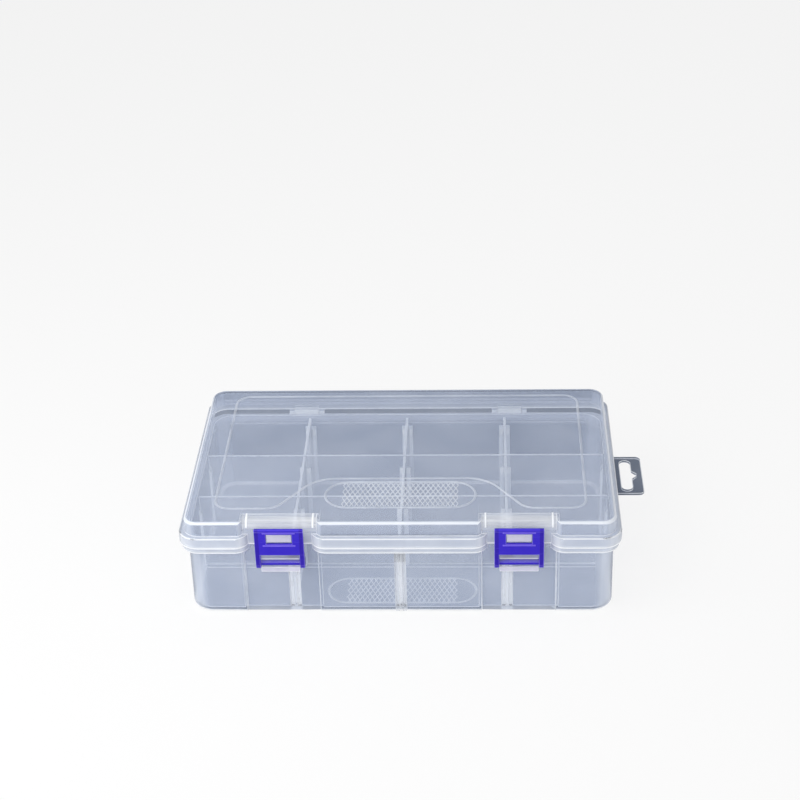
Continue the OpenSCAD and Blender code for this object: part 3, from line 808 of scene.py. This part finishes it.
crosshatch("floor_crosshatch", "tray", floor_hatch, Half_Length=0.030, Half_Height=0.0106,
           Pitch=HATCH_PITCH, Slant=HATCH_SLANT, Bar_Width=BAR_WIDTH, Bar_Height=FLOOR_BAR_H,
           Place=(0.0, FLOOR_PANEL_Y, FLOOR_TOP + FLOOR_BAR_H / 2 - SUNK))


# %% [markdown]
# ## Stage and light
# Clear plastic is photographed against a dark cloth, so that its haze shows, and set on white
# afterwards. Here the floor and the sky are white to the camera itself, but dark to a ray that
# has already passed through plastic, which Light Path's Transparent Depth tells.

# %% Floor and sky
SEEN_THROUGH = (0.042, 0.053, 0.078)
SKY = 0.42
SKY_SEEN_THROUGH = 0.07
PAPER_GLOW = 0.8
PAPER_REACH = 4.0
PAPER_GAP = 0.0004


def floor_material():
    material = bpy.data.materials.new("floor_paper")
    material.use_nodes = True
    tree = material.node_tree
    tree.nodes.remove(tree.nodes["Principled BSDF"])
    output = tree.nodes["Material Output"]
    path = tree.nodes.new("ShaderNodeLightPath")
    through = calc(tree, "GREATER_THAN", path.outputs["Transparent Depth"], 0.5)
    through = calc(tree, "MULTIPLY", through, path.outputs["Is Camera Ray"])
    paper = add_node(tree, "ShaderNodeBsdfDiffuse", Color=(0.9, 0.9, 0.9, 1.0))
    glow = add_node(tree, "ShaderNodeEmission", Color=(1.0, 1.0, 1.0, 1.0), Strength=1.0)
    lit = tree.nodes.new("ShaderNodeMixShader")
    lit.inputs[0].default_value = PAPER_GLOW
    tree.links.new(paper.outputs[0], lit.inputs[1])
    tree.links.new(glow.outputs[0], lit.inputs[2])
    cloth = add_node(tree, "ShaderNodeEmission", Color=(*SEEN_THROUGH, 1.0), Strength=1.0)
    dark = tree.nodes.new("ShaderNodeMixShader")
    tree.links.new(through, dark.inputs[0])
    tree.links.new(lit.outputs[0], dark.inputs[1])
    tree.links.new(cloth.outputs[0], dark.inputs[2])
    tree.links.new(dark.outputs[0], output.inputs["Surface"])
    return material


floor_mesh = bpy.data.meshes.new("floor")
corners = [(x * PAPER_REACH, y * PAPER_REACH, 0) for x, y in ((-1, -1), (1, -1), (1, 1), (-1, 1))]
floor_mesh.from_pydata(corners, [], [(0, 1, 2, 3)])
floor_mesh.materials.append(floor_material())
floor = bpy.data.objects.new("floor", floor_mesh)
floor.location.z = -PAPER_GAP
scene.collection.objects.link(floor)

world = bpy.data.worlds.new("studio")
world.use_nodes = True
scene.world = world
sky = world.node_tree
background = sky.nodes["Background"]
path = sky.nodes.new("ShaderNodeLightPath")
through = calc(sky, "GREATER_THAN", path.outputs["Transparent Depth"], 0.5)
seen = calc(sky, "MULTIPLY", path.outputs["Is Camera Ray"], through)
plain = calc(sky, "MULTIPLY", path.outputs["Is Camera Ray"], calc(sky, "SUBTRACT", 1.0, through))
strength = calc(sky, "ADD", SKY, calc(sky, "MULTIPLY", plain, 1.0 - SKY))
strength = calc(sky, "SUBTRACT", strength, calc(sky, "MULTIPLY", seen, SKY - SKY_SEEN_THROUGH))
put(sky, background, "Color", (1.0, 1.0, 1.0, 1.0))
put(sky, background, "Strength", strength)


def soft_light(name, place, aim, size, power):
    """A large square lamp that faces a point."""
    data = bpy.data.lights.new(name, "AREA")
    data.size = size
    data.energy = power
    lamp = bpy.data.objects.new(name, data)
    direction = Vector(aim) - Vector(place)
    lamp.matrix_world = Matrix.Translation(place) @ direction.to_track_quat("-Z", "Y").to_matrix().to_4x4()
    scene.collection.objects.link(lamp)
    return lamp


soft_light("overhead", (-0.1, 0.05, 1.0), (0.0, 0.0, 0.0), 1.0, 1.5)
soft_light("near_left", (-0.34, -0.22, 0.5), (0.0, 0.0, 0.03), 0.4, 1.4)
soft_light("front_left", (-0.5, -1.1, 0.7), (0.0, 0.0, 0.03), 0.9, 5.0)
soft_light("front_right", (0.8, -0.9, 0.6), (0.0, 0.0, 0.03), 0.9, 2.2)

scene.view_settings.view_transform = "Standard"
